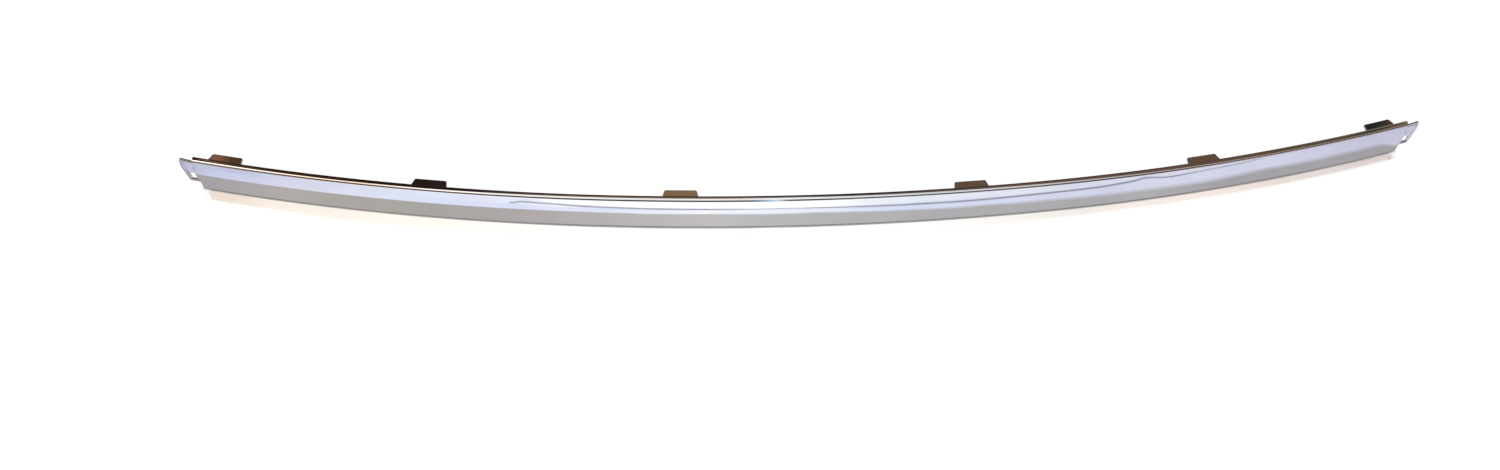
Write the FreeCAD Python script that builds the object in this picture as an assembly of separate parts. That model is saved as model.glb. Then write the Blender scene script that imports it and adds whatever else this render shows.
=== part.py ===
import FreeCAD, Part
import math
import os

# A chrome plated bumper trim strip: one thin-walled moulding, bowed in plan, with a mirror face in
# front, a rounded top edge, a flange behind it, six rear tabs and a tongue with a clip hole at each end.
# Millimetres. X runs along the strip, +Y is its rear, +Z is up. It stands on its bottom edge.

# Bow in plan, followed by the front of the bottom edge
centre_radius = 2590.0
centre_reach = 220.0
end_radius = 2180.0

# Section of the strip, the same all along
wall = 2.5
crease_height = 18.0
lower_lean = 4.0
upper_lean = 12.0
lip_height = 32.8
lip_depth = 9.6
lip_rise = 5.0
lip_round = 2.7
crease_round = 2.5
bottom_round = 1.4
inner_round = 0.7

# Slanted ends of the face and flange, cut along the Y axis
end_reach = 597.1
end_lean = 3.6

# Tabs on the rear edge of the flange
tab_stations = [138.3, 374.8, 575.9]
tab_base_width = 33.6
tab_tip_width = 30.2
tab_length = 7.4
tab_thickness = 1.8
tab_step = 0.3
tab_root = 1.8
tab_corner_round = 2.0

# Tongues that carry on past the ends of the face
tongue_proud = 17.3
shoulder_height = 25.0
shoulder_round = 12.0
tongue_lean_out = 17.5
tongue_draw_in = 20.0
tongue_low = 7.1
tongue_high = 32.2
tongue_thickness = 2.2
tongue_lean = 8.5
tongue_setback = 0.02
tongue_bottom_round = 2.0
tongue_top_round = 1.5
tongue_bevel = 1.2
root_length = 14.0
root_high = 29.0

# Clip hole through each tongue
hole_width = 5.9
hole_height = 7.4
hole_bottom_gap = 2.9
hole_side_gap = 3.9
hole_lean_out = 7.0
hole_corner_round = 0.7

# Spare length of the cutting and trimming bodies past the strip
spare = 40.0


def tilt(angle):
    """Tangent of an angle in degrees."""
    return math.tan(math.radians(angle))


def station(s):
    """Point on the bow and its heading, at the distance s along it from the middle, for s of 0 or more."""
    centre_turn = min(s, centre_reach) / centre_radius
    end_turn = max(s - centre_reach, 0.0) / end_radius
    heading = centre_turn + end_turn
    x = centre_radius * math.sin(centre_turn)
    y = centre_radius * (1 - math.cos(centre_turn))
    x += end_radius * (math.sin(heading) - math.sin(centre_turn))
    y += end_radius * (math.cos(centre_turn) - math.cos(heading))
    return FreeCAD.Vector(x, y, 0), heading


def set_at(shape, s):
    """Copy of a shape drawn about the origin, moved to its place along the bow."""
    point, heading = station(s)
    turn = FreeCAD.Rotation(FreeCAD.Vector(0, 0, 1), math.degrees(heading))
    moved = shape.copy()
    moved.Placement = FreeCAD.Placement(point, turn).multiply(moved.Placement)
    return moved


def rounded_outline(corners, radii):
    """Closed wire through the corners, each rounded by a tangent arc of its own radius, or sharp at 0."""
    starts = []
    ends = []
    edges = []
    count = len(corners)
    for i in range(count):
        corner = corners[i]
        back = (corners[i - 1] - corner).normalize()
        ahead = (corners[(i + 1) % count] - corner).normalize()
        half_angle = back.getAngle(ahead) / 2
        reach = radii[i] / math.tan(half_angle)
        starts.append(corner + back * reach)
        ends.append(corner + ahead * reach)
        if radii[i] > 0:
            gap = radii[i] / math.sin(half_angle) - radii[i]
            middle = corner + (back + ahead).normalize() * gap
            edges.append(Part.Arc(starts[i], middle, ends[i]).toShape())
    for i in range(count):
        edges.append(Part.LineSegment(ends[i], starts[(i + 1) % count]).toShape())
    return Part.Wire(Part.__sortEdges__(edges))


def meeting_point(a, angle_a, b, angle_b):
    """Point in the YZ plane where the line from a, leaning back by angle_a, meets the line from b."""
    run_a = FreeCAD.Vector(0, math.sin(math.radians(angle_a)), math.cos(math.radians(angle_a)))
    run_b = FreeCAD.Vector(0, math.sin(math.radians(angle_b)), math.cos(math.radians(angle_b)))
    gap = b - a
    cross = run_a.y * run_b.z - run_a.z * run_b.y
    return a + run_a * ((gap.y * run_b.z - gap.z * run_b.y) / cross)


def inset(point, angle):
    """The point moved by the wall's thickness to the inner side of a line that leans back by angle."""
    lean = math.radians(angle)
    return point + FreeCAD.Vector(0, math.cos(lean), -math.sin(lean)) * wall


def strip_section():
    """Face of the strip's section: lower and upper facets of the face, lip and flange, with an even wall."""
    flange_angle = 90 - lip_rise
    foot = FreeCAD.Vector(0, 0, 0)
    crease = FreeCAD.Vector(0, crease_height * tilt(lower_lean), crease_height)
    rear = FreeCAD.Vector(0, lip_depth, lip_height)
    lip = meeting_point(crease, upper_lean, rear, flange_angle)
    rear_under = inset(rear, flange_angle)
    lip_inner = meeting_point(inset(crease, upper_lean), upper_lean, rear_under, flange_angle)
    crease_inner = meeting_point(inset(foot, lower_lean), lower_lean, lip_inner, upper_lean)
    foot_inner = meeting_point(crease_inner, lower_lean, foot, 90)
    corners = [foot, crease, lip, rear, rear_under, lip_inner, crease_inner, foot_inner]
    radii = [bottom_round, crease_round, lip_round, 0, 0, inner_round, 0, 0]
    return Part.Face(rounded_outline(corners, radii))


def bowed_bar():
    """Right half of the strip: the section turned about the centres of the two arcs of the bow."""
    upright = FreeCAD.Vector(0, 0, 1)
    section = strip_section()
    centre_turn = centre_reach / centre_radius
    middle = section.revolve(FreeCAD.Vector(0, centre_radius, 0), upright, math.degrees(centre_turn))
    joint, heading = station(centre_reach)
    end_centre = joint + FreeCAD.Vector(-math.sin(heading), math.cos(heading), 0) * end_radius
    end_turn = (end_reach + spare - centre_reach) / end_radius
    end = set_at(section, centre_reach).revolve(end_centre, upright, math.degrees(end_turn))
    return middle.fuse(end)


def drawn_along_y(corners, radii):
    """Prism of an outline given as X and Z, drawn through the whole depth of the strip."""
    outline = [FreeCAD.Vector(x, -spare, z) for x, z in corners]
    depth = station(end_reach + spare)[0].y + lip_depth + tab_length + 2 * spare
    return Part.Face(rounded_outline(outline, radii)).extrude(FreeCAD.Vector(0, depth, 0))


def face_end(z):
    """X of the slanted end of the face at the height z."""
    return end_reach + z * tilt(end_lean)


def end_waste():
    """Body that cuts the strip's end off in one slanted plane that holds the Y direction."""
    top = lip_height + spare
    corners = [
        (face_end(-spare), -spare),
        (face_end(top), top),
        (end_reach + 3 * spare, top),
        (end_reach + 3 * spare, -spare),
    ]
    return drawn_along_y(corners, [0] * len(corners))


def tab():
    """One tab, a tapered plate with round tip corners whose root sits inside the flange's thickness."""
    base = tab_base_width / 2
    tip = tab_tip_width / 2
    corners = [
        FreeCAD.Vector(-base, -tab_root, 0),
        FreeCAD.Vector(base, -tab_root, 0),
        FreeCAD.Vector(base, 0, 0),
        FreeCAD.Vector(tip, tab_length, 0),
        FreeCAD.Vector(-tip, tab_length, 0),
        FreeCAD.Vector(-base, 0, 0),
    ]
    radii = [0, 0, 0, tab_corner_round, tab_corner_round, 0]
    plate = Part.Face(rounded_outline(corners, radii)).extrude(FreeCAD.Vector(0, 0, -tab_thickness))
    plate.translate(FreeCAD.Vector(0, 0, -tab_step))
    plate.rotate(FreeCAD.Vector(0, 0, 0), FreeCAD.Vector(1, 0, 0), lip_rise)
    plate.translate(FreeCAD.Vector(0, lip_depth, lip_height))
    return plate


def tongue_edge(z):
    """X of the tongue's outer edge at the height z, below its shoulder."""
    return end_reach + tongue_proud - (shoulder_height - z) * tilt(tongue_lean_out)


def bevelled(plate):
    """The tongue's plate with the outer and bottom edges of its front bevelled."""
    broad = sorted(plate.Faces, key=lambda face: face.Area)[-2:]
    front = min(broad, key=lambda face: face.CenterOfMass.y)
    inboard = tongue_edge(tongue_low) - tongue_bottom_round
    above = tongue_low + tongue_bottom_round
    rim = [edge for edge in front.Edges if edge.CenterOfMass.x > inboard or edge.CenterOfMass.z < above]
    return plate.makeChamfer(tongue_bevel, rim)


def tongue():
    """Flat leaning plate behind the face's end, trimmed to its outline, with its bevel and clip hole."""
    depth = tongue_thickness / math.cos(math.radians(tongue_lean))
    front_low = tongue_setback
    front_high = tongue_setback + (lip_height + spare) * tilt(tongue_lean)
    side = [
        FreeCAD.Vector(-root_length, front_low, 0),
        FreeCAD.Vector(-root_length, front_high, lip_height + spare),
        FreeCAD.Vector(-root_length, front_high + depth, lip_height + spare),
        FreeCAD.Vector(-root_length, front_low + depth, 0),
    ]
    slab = Part.Face(Part.makePolygon(side + side[:1])).extrude(FreeCAD.Vector(root_length + spare, 0, 0))
    slab = set_at(slab, end_reach)
    shoulder = end_reach + tongue_proud
    outline = [
        (end_reach - root_length, tongue_low),
        (tongue_edge(tongue_low), tongue_low),
        (shoulder, shoulder_height),
        (shoulder - (tongue_high - shoulder_height) * tilt(tongue_draw_in), tongue_high),
        (face_end(tongue_high), tongue_high),
        (face_end(root_high), root_high),
        (end_reach - root_length, root_high),
    ]
    radii = [0, tongue_bottom_round, shoulder_round, tongue_top_round, 0, 0, 0]
    plate = bevelled(slab.common(drawn_along_y(outline, radii)))
    low = tongue_low + hole_bottom_gap
    outer = tongue_edge(low) - hole_side_gap
    drift = hole_height * tilt(hole_lean_out)
    hole = [
        (outer - hole_width, low),
        (outer, low),
        (outer + drift, low + hole_height),
        (outer + drift - hole_width, low + hole_height),
    ]
    return plate.cut(drawn_along_y(hole, [hole_corner_round] * len(hole)))


def trim_strip():
    """The whole moulding: its right half with tabs and tongue, and the same half mirrored to the left."""
    half = bowed_bar().cut(end_waste())
    additions = [set_at(tab(), s) for s in tab_stations]
    additions.append(tongue())
    half = half.fuse(additions)
    other = half.mirror(FreeCAD.Vector(0, 0, 0), FreeCAD.Vector(1, 0, 0))
    whole = half.fuse(other).removeSplitter()
    box = whole.optimalBoundingBox(False, False)
    solid = whole.Solids[0]
    solid.translate(FreeCAD.Vector(-box.Center.x, -box.Center.y, -box.ZMin))
    return solid


strip = trim_strip()
print("valid", strip.isValid(), "volume", round(strip.Volume), "box", strip.BoundBox)
os.makedirs("parts", exist_ok=True)
strip.exportStep("parts/trim_strip.step")
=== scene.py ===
# %% [markdown]
# # A chrome plated bumper trim strip
# The object is one long, bowed moulding with mirror plating. It has a face with a soft crease,
# a rounded lip along the top, a narrow flange behind the lip, six tabs on the flange's rear edge,
# and at each end a flat tongue with a clip hole. A mirror has hardly any colour of its own, so the
# lesson has two halves: surfaces that are smooth enough to reflect cleanly, and a studio that
# gives them something to reflect.

# %% Load the frame
import math

import bpy
import numpy as np
from mathutils import Matrix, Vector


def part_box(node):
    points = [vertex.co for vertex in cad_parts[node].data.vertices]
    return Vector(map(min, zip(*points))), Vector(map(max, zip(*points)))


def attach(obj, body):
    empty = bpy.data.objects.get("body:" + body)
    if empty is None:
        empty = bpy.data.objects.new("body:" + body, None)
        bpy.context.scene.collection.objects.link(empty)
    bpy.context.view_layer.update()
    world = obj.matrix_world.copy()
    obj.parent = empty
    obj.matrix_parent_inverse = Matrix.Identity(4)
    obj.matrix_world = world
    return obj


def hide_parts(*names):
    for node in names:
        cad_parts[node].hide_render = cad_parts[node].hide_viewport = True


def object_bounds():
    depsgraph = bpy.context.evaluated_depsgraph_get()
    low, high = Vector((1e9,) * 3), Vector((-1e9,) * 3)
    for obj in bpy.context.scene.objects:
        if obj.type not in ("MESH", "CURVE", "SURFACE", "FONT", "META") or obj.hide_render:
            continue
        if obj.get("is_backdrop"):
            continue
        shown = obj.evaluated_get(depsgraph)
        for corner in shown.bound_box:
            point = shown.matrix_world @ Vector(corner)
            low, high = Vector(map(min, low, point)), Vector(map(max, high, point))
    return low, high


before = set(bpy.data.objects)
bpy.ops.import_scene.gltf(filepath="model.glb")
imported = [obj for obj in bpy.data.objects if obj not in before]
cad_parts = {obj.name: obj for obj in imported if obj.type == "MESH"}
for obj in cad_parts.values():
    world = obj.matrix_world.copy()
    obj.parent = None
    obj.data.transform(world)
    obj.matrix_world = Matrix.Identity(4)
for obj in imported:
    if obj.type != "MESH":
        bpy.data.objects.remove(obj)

cad_low, cad_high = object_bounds()
strip_low, strip_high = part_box("trim_strip")
print("strip from", [round(v, 4) for v in strip_low], "to", [round(v, 4) for v in strip_high])

# %% [markdown]
# ## Sizes
# The numbers are millimetres and degrees, as a maker's drawing would give them. The bow in plan is
# two arcs on each side that meet without a kink. Everything is set out along that bow: a distance
# s from the middle, a depth b behind it and a height z.

# %% Sizes of the strip
MM = 0.001
CENTRE_RADIUS, CENTRE_REACH, END_RADIUS = 2590.0, 220.0, 2180.0
WALL = 2.5
CREASE_HEIGHT, LOWER_LEAN, UPPER_LEAN = 18.0, 4.0, 12.0
LIP_HEIGHT, LIP_DEPTH, LIP_RISE = 32.8, 9.6, 5.0
LIP_ROUND, CREASE_ROUND, BOTTOM_ROUND, INNER_ROUND = 2.7, 2.5, 1.4, 0.7
END_REACH, END_LEAN = 597.1, 3.6
print("face", 2 * END_REACH, "mm along its foot")

# %% [markdown]
# ## The bow
# A point on the bow could be found by stepping along it, but two arcs have an exact answer: the
# heading grows evenly with the distance, and sine and cosine of the heading give the place.
# NumPy works it out for a whole array of distances at once.

# %% Points along the bow
def bow(s):
    """Place and heading on the bow: heading = distance over radius, first arc then second arc."""
    far = np.abs(s)
    first = np.minimum(far, CENTRE_REACH) / CENTRE_RADIUS
    heading = first + np.maximum(far - CENTRE_REACH, 0.0) / END_RADIUS
    x = CENTRE_RADIUS * np.sin(first) + END_RADIUS * (np.sin(heading) - np.sin(first))
    y = CENTRE_RADIUS * (1 - np.cos(first)) + END_RADIUS * (np.cos(first) - np.cos(heading))
    return np.sign(s) * x, y, np.sign(s) * heading


def tangent(degrees):
    """Tangent of an angle in degrees."""
    return math.tan(math.radians(degrees))


# The corner of the section lies a little in front of the rounded foot that the box is measured on
foot_round_proud = BOTTOM_ROUND * (1 / math.cos(math.radians(LOWER_LEAN)) + tangent(LOWER_LEAN) - 1)
FOOT_Y = strip_low.y / MM - foot_round_proud


def place(s, b, z):
    """Metres from bow distance, depth and height: the bow's point plus b along its rearward normal."""
    x, y, heading = bow(s)
    px = x - b * np.sin(heading)
    py = y + b * np.cos(heading) + FOOT_Y
    return np.stack(np.broadcast_arrays(px, py, z), axis=-1) * MM


print("bow is", round(float(bow(END_REACH)[1]), 1), "mm deep at the ends of the face")

# %% [markdown]
# ## Rounded outlines
# Both the section of the strip and the outlines of tabs and tongues are closed lines with
# rounded corners. A corner's arc starts and ends where a circle touches both sides. Each
# straight run gets a few points, two of them close to the arcs, so smooth shading stays flat.

# %% A closed outline with rounded corners
RUN_SHARES = np.array([0.04, 0.25, 0.5, 0.75, 0.96])


def rounded_loop(corners, radii, steps):
    """Closed line through the corners: each corner is an arc of its radius that touches both sides."""
    corners = np.asarray(corners, float)
    radii = np.asarray(radii, float)
    back = np.roll(corners, 1, axis=0) - corners
    ahead = np.roll(corners, -1, axis=0) - corners
    back /= np.linalg.norm(back, axis=1, keepdims=True)
    ahead /= np.linalg.norm(ahead, axis=1, keepdims=True)
    half = np.arccos(np.clip((back * ahead).sum(axis=1), -1, 1)) / 2
    middle = back + ahead
    middle /= np.linalg.norm(middle, axis=1, keepdims=True)
    centre = corners + middle * (radii / np.sin(half))[:, None]
    sweep = np.linspace(-1, 1, steps)[None, :] * (math.pi / 2 - half)[:, None]
    turn = np.sign(back[:, 0] * ahead[:, 1] - back[:, 1] * ahead[:, 0])
    across = np.stack([-middle[:, 1], middle[:, 0]], axis=1) * turn[:, None]
    arc = (
        centre[:, None, :]
        - middle[:, None, :] * (radii[:, None] * np.cos(sweep))[:, :, None]
        + across[:, None, :] * (radii[:, None] * np.sin(sweep))[:, :, None]
    )
    run = np.roll(arc[:, 0], -1, axis=0) - arc[:, -1]
    extra = arc[:, -1][:, None, :] + run[:, None, :] * RUN_SHARES[None, :, None]
    return np.concatenate([arc, extra], axis=1).reshape(-1, 2)


def inward(loop):
    """Unit vectors into a loop that runs anticlockwise: the direction of travel turned left."""
    step = np.roll(loop, -1, axis=0) - np.roll(loop, 1, axis=0)
    step /= np.linalg.norm(step, axis=1, keepdims=True)
    return np.stack([-step[:, 1], step[:, 0]], axis=1)


def area(loop):
    """Signed area inside a loop, positive where it runs anticlockwise."""
    ahead = np.roll(loop, -1, axis=0)
    return float((loop[:, 0] * ahead[:, 1] - loop[:, 1] * ahead[:, 0]).sum() / 2)


# %% [markdown]
# ## From a grid to a mesh
# Every surface here is a grid of points: rows along one parameter, columns along the other. The
# columns of a solid piece close on themselves. Its first and last rows are closed by one flat face
# each, or the rows close on themselves too, as they do round a hole.

# %% Grid faces and meshes
def add_mesh(name, points, faces):
    """A mesh object from lists of points and of faces, linked to the scene."""
    mesh = bpy.data.meshes.new(name)
    mesh.from_pydata(points, [], faces)
    thing = bpy.data.objects.new(name, mesh)
    bpy.context.scene.collection.objects.link(thing)
    return thing


def grid_faces(rows, columns, ring=False):
    """Four-sided faces between neighbouring rows and columns; the last column joins the first."""
    first = np.arange(rows if ring else rows - 1)[:, None]
    column = np.arange(columns)[None, :]
    after = (column + 1) % columns
    start = first * columns
    below = (first + 1) % rows * columns
    corners = np.broadcast_arrays(start + column, start + after, below + after, below + column)
    return np.stack(corners, axis=-1).reshape(-1, 4).tolist()


def volume(points, faces):
    """Volume inside a closed mesh: a sixth of each corner fan's triple product, added up."""
    total = 0.0
    for size in {len(face) for face in faces}:
        fan = points[np.array([face for face in faces if len(face) == size])]
        for k in range(1, size - 1):
            total += np.einsum("ij,ij->i", fan[:, 0], np.cross(fan[:, k], fan[:, k + 1])).sum()
    return total / 6


def make_piece(name, grids, ring=False):
    """One object from closed grids, each turned so that its faces look outwards."""
    points, faces, start = [], [], 0
    for grid in grids:
        rows, columns = grid.shape[:2]
        own = grid.reshape(-1, 3)
        cells = grid_faces(rows, columns, ring)
        if not ring:
            cells.append(list(range(columns))[::-1])
            cells.append(list(range((rows - 1) * columns, rows * columns)))
        if volume(own, cells) < 0:
            cells = [cell[::-1] for cell in cells]
        faces += [[corner + start for corner in cell] for cell in cells]
        points.append(own)
        start += len(own)
    points = np.concatenate(points)
    piece = add_mesh(name, points.tolist(), faces)
    piece.data.shade_smooth()
    print(name, len(points), "points,", round(volume(points, faces) * 1e9), "cubic mm")
    return piece


# %% [markdown]
# ## The section of the strip
# Seen from its end, the strip is a thin wall: a lower facet that leans back a little, an upper
# facet that leans back more, the round lip and the flange. The outline could be drawn by hand, but
# worked out from the same sizes as the solid it fits exactly. Every edge gets the small round that
# moulding and plating leave, and the flange a crown of a tenth of a millimetre, as thin
# mouldings have, which spreads what it reflects.

# %% Section outline
EDGE, END_EDGE, FLANGE_CROWN = 0.3, 0.15, 0.09
SECTION_ARC_POINTS = 14
FLANGE_LEAN = 90 - LIP_RISE


def lean_vector(lean):
    """Unit vector up a line that leans back from upright: sine and cosine of its lean."""
    return np.array([math.sin(math.radians(lean)), math.cos(math.radians(lean))])


def meet(point_a, lean_a, point_b, lean_b):
    """Point where two lines of the section meet, from two equations for the distances to it."""
    up_a, up_b = lean_vector(lean_a), lean_vector(lean_b)
    distances = np.linalg.solve(np.stack([up_a, -up_b], axis=1), np.subtract(point_b, point_a))
    return tuple(np.array(point_a) + distances[0] * up_a)


def behind(point, lean):
    """The point moved by the wall's thickness, square to a line of that lean."""
    up = lean_vector(lean)
    return (point[0] + WALL * up[1], point[1] - WALL * up[0])


foot = (0.0, 0.0)
crease = (CREASE_HEIGHT * tangent(LOWER_LEAN), CREASE_HEIGHT)
rear = (LIP_DEPTH, LIP_HEIGHT)
lip = meet(crease, UPPER_LEAN, rear, FLANGE_LEAN)
rear_under = behind(rear, FLANGE_LEAN)
lip_inner = meet(behind(crease, UPPER_LEAN), UPPER_LEAN, rear_under, FLANGE_LEAN)
crease_inner = meet(behind(foot, LOWER_LEAN), LOWER_LEAN, lip_inner, UPPER_LEAN)
foot_inner = meet(crease_inner, LOWER_LEAN, foot, 90)


def crowned(loop):
    """The loop with the flange's top raised by crown times 4 t (1 - t), t from lip to rear edge."""
    t = (loop[:, 0] - lip[0]) / (rear[0] - lip[0])
    on_flange = (loop[:, 1] > (lip[1] + lip_inner[1]) / 2) & (t > 0)
    rise = np.where(on_flange, FLANGE_CROWN * 4 * t * (1 - t), 0.0)
    return np.stack([loop[:, 0], loop[:, 1] + rise], axis=1)


section = crowned(rounded_loop(
    [foot, foot_inner, crease_inner, lip_inner, rear_under, rear, lip, crease],
    [BOTTOM_ROUND, EDGE, CREASE_ROUND, INNER_ROUND, EDGE, EDGE, LIP_ROUND, CREASE_ROUND],
    SECTION_ARC_POINTS,
))
section_in = inward(section) * np.sign(area(section))
print("section of", len(section), "points,", round(abs(area(section)), 1), "square mm")


# %% [markdown]
# ## The strip
# The section is carried along the bow. A curve object with a bevel profile could do that too, but
# both ends are cut off in a slanted plane, so each point of the section has its own end distance,
# found by a few Newton steps. Just before the end the section shrinks by a quarter circle, which
# rounds the cut edge and lets it catch light.

# %% The strip
STATIONS, ROUND_ROWS, NEWTON_STEPS = 301, 6, 6


def end_distance(b, z):
    """Bow distance where depth b at height z meets the slanted end plane."""
    target = END_REACH + z * tangent(END_LEAN)
    s = np.full_like(b, END_REACH)
    for _ in range(NEWTON_STEPS):
        x, _, heading = bow(s)
        s += (target - (x - b * np.sin(heading))) / np.cos(heading)
    return s


quarter = np.linspace(0, math.pi / 2, ROUND_ROWS)[1:]
run = np.linspace(-1, 1, STATIONS)
inset = np.append(END_EDGE * (1 - np.cos(quarter)), 2 * END_EDGE)
past = np.append(END_EDGE * (np.sin(quarter) - 1), 0.0)
fraction = np.concatenate([-np.ones(ROUND_ROWS), run, np.ones(ROUND_ROWS)])
row_inset = np.concatenate([inset[::-1], np.zeros(STATIONS), inset])
row_past = np.concatenate([past[::-1], -END_EDGE * np.ones(STATIONS), past])
profile = section[None] + section_in[None] * row_inset[:, None, None]
reach = end_distance(section[:, 0], section[:, 1])
s = fraction[:, None] * (reach[None] + row_past[:, None])
strip = make_piece("mirror_strip", [place(s, profile[..., 0], profile[..., 1])])

# %% [markdown]
# ## Tabs
# Each tab is a thin tapered plate that carries on from the flange. A box with a Bevel modifier
# would come close, but rows of its outline give the exact rounds and keep the top flat: the
# outline set in a little, out again round the edge, down the side and in again underneath.

# %% The six tabs
TAB_STATIONS = (138.3, 374.8, 575.9)
TAB_BASE, TAB_TIP, TAB_LENGTH, TAB_THICK = 33.6, 30.2, 7.4, 1.8
TAB_STEP, TAB_ROOT, TAB_ROUND, TAB_ROOT_ROUND = 0.3, 1.8, 2.0, 0.3
TAB_ARC_POINTS, TAB_EDGE_ROWS, TAB_GUARD = 7, 5, 0.3


def tab_rows():
    """Inset and drop of the rows round the plate: flat, quarter circle, side and back again."""
    angle = np.linspace(0, math.pi / 2, TAB_EDGE_ROWS)
    inset = np.append(EDGE + TAB_GUARD, EDGE * (1 - np.sin(angle)))
    drop = np.append(0.0, EDGE * (1 - np.cos(angle)))
    return np.append(inset, inset[::-1]), np.append(drop, TAB_THICK - drop[::-1])


def tab(station):
    """Grid of one tab: outline rows set in and dropped, tilted by the flange's rise, set on the bow."""
    base, tip = TAB_BASE / 2, TAB_TIP / 2
    outline = rounded_loop(
        [(-base, -TAB_ROOT), (base, -TAB_ROOT), (base, 0), (tip, TAB_LENGTH), (-tip, TAB_LENGTH),
         (-base, 0)],
        [TAB_ROOT_ROUND] * 3 + [TAB_ROUND] * 2 + [TAB_ROOT_ROUND],
        TAB_ARC_POINTS,
    )
    row_inset, row_drop = tab_rows()
    flat = outline[None] + inward(outline)[None] * row_inset[:, None, None]
    rise = math.radians(LIP_RISE)
    down = -TAB_STEP - row_drop[:, None]
    depth = LIP_DEPTH + flat[..., 1] * math.cos(rise) - down * math.sin(rise)
    height = LIP_HEIGHT + flat[..., 1] * math.sin(rise) + down * math.cos(rise)
    x, y, heading = bow(np.float64(station))
    px = x + flat[..., 0] * np.cos(heading) - depth * np.sin(heading)
    py = y + flat[..., 0] * np.sin(heading) + depth * np.cos(heading) + FOOT_Y
    return np.stack([px, py, height], axis=-1) * MM


both_sides = [side * station for side in (-1, 1) for station in TAB_STATIONS]
tabs = make_piece("rear_tabs", [tab(station) for station in both_sides])

# %% [markdown]
# ## Tongues
# A tongue is a flat plate with a slanted outline and a four-sided clip hole. A Boolean could cut
# the hole, but it would leave long thin faces that a mirror shows. So the plate's surface goes
# round like the skin of a ring: out of the hole, over the front to the outer edge, and back along
# the rear. The front falls away softly over its last few millimetres, as plated edges do.

# %% Sizes of the tongues
TONGUE_PROUD, SHOULDER_HEIGHT, SHOULDER_ROUND = 17.3, 25.0, 12.0
TONGUE_LEAN_OUT, TONGUE_DRAW_IN = 17.5, 20.0
TONGUE_LOW, TONGUE_HIGH, TONGUE_THICK, TONGUE_LEAN = 7.1, 32.2, 2.2, 8.5
TONGUE_SETBACK, TONGUE_BOTTOM_ROUND, TONGUE_TOP_ROUND = 0.02, 2.0, 1.5
TONGUE_ROOT, TONGUE_ROOT_DROP, TONGUE_ROOT_ROUND = 1.0, 1.8, 0.3
HOLE_WIDTH, HOLE_HEIGHT, HOLE_GAP, HOLE_SIDE, HOLE_LEAN = 5.9, 7.4, 2.9, 3.9, 7.0
HOLE_ROUND, HOLE_EDGE, HOLE_GUARDS = 0.7, 0.25, (0.35, 0.6, 1.2)
PILLOW_WIDTH, PILLOW_DROP, PILLOW_ROWS = 2.6, 0.55, 9
OUTER_ARC_POINTS, HOLE_ARC_POINTS, TONGUE_COLUMNS, TONGUE_EDGE_ROWS = 12, 8, 160, 5


def tongue_edge(z):
    """X of the tongue's outer edge below its shoulder."""
    return END_REACH + TONGUE_PROUD - (SHOULDER_HEIGHT - z) * tangent(TONGUE_LEAN_OUT)


def even_loop(loop, count):
    """The loop with evenly spaced points, the first of them straight below the loop's middle."""
    closed = np.concatenate([loop, loop[:1]])
    length = np.concatenate([[0], np.cumsum(np.linalg.norm(np.diff(closed, axis=0), axis=1))])
    spoke = loop - loop.mean(axis=0)
    offset = length[np.argmin(spoke[:, 1] / np.linalg.norm(spoke, axis=1))]
    at = (offset + np.linspace(0, length[-1], count, endpoint=False)) % length[-1]
    return np.stack([np.interp(at, length, closed[:, k]) for k in (0, 1)], axis=1)


print("tongue edge at its foot", round(tongue_edge(TONGUE_LOW), 1), "mm from the middle")


# %% The two tongues
def tongue_lines():
    """Outer outline and hole outline of a tongue as matching loops of X and Z, seen from the front."""
    shoulder = END_REACH + TONGUE_PROUD
    top = shoulder - (TONGUE_HIGH - SHOULDER_HEIGHT) * tangent(TONGUE_DRAW_IN)
    inner = END_REACH - TONGUE_ROOT
    outer = rounded_loop(
        [(inner, TONGUE_LOW), (tongue_edge(TONGUE_LOW), TONGUE_LOW), (shoulder, SHOULDER_HEIGHT),
         (top, TONGUE_HIGH), (inner, TONGUE_HIGH - TONGUE_ROOT_DROP)],
        [TONGUE_ROOT_ROUND, TONGUE_BOTTOM_ROUND, SHOULDER_ROUND, TONGUE_TOP_ROUND, TONGUE_ROOT_ROUND],
        OUTER_ARC_POINTS,
    )
    low = TONGUE_LOW + HOLE_GAP
    high = low + HOLE_HEIGHT
    right = tongue_edge(low) - HOLE_SIDE
    right_high = right + HOLE_HEIGHT * tangent(HOLE_LEAN)
    hole = rounded_loop(
        [(right - HOLE_WIDTH, low), (right, low), (right_high, high), (right_high - HOLE_WIDTH, high)],
        [HOLE_ROUND] * 4,
        HOLE_ARC_POINTS,
    )
    return even_loop(outer, TONGUE_COLUMNS), even_loop(hole, TONGUE_COLUMNS)


def rows_beside(line, normal, gaps):
    """Copies of a line, each moved along the line's normals by one of the gaps."""
    return line[None] + normal[None] * np.asarray(gaps)[:, None, None]


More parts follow.
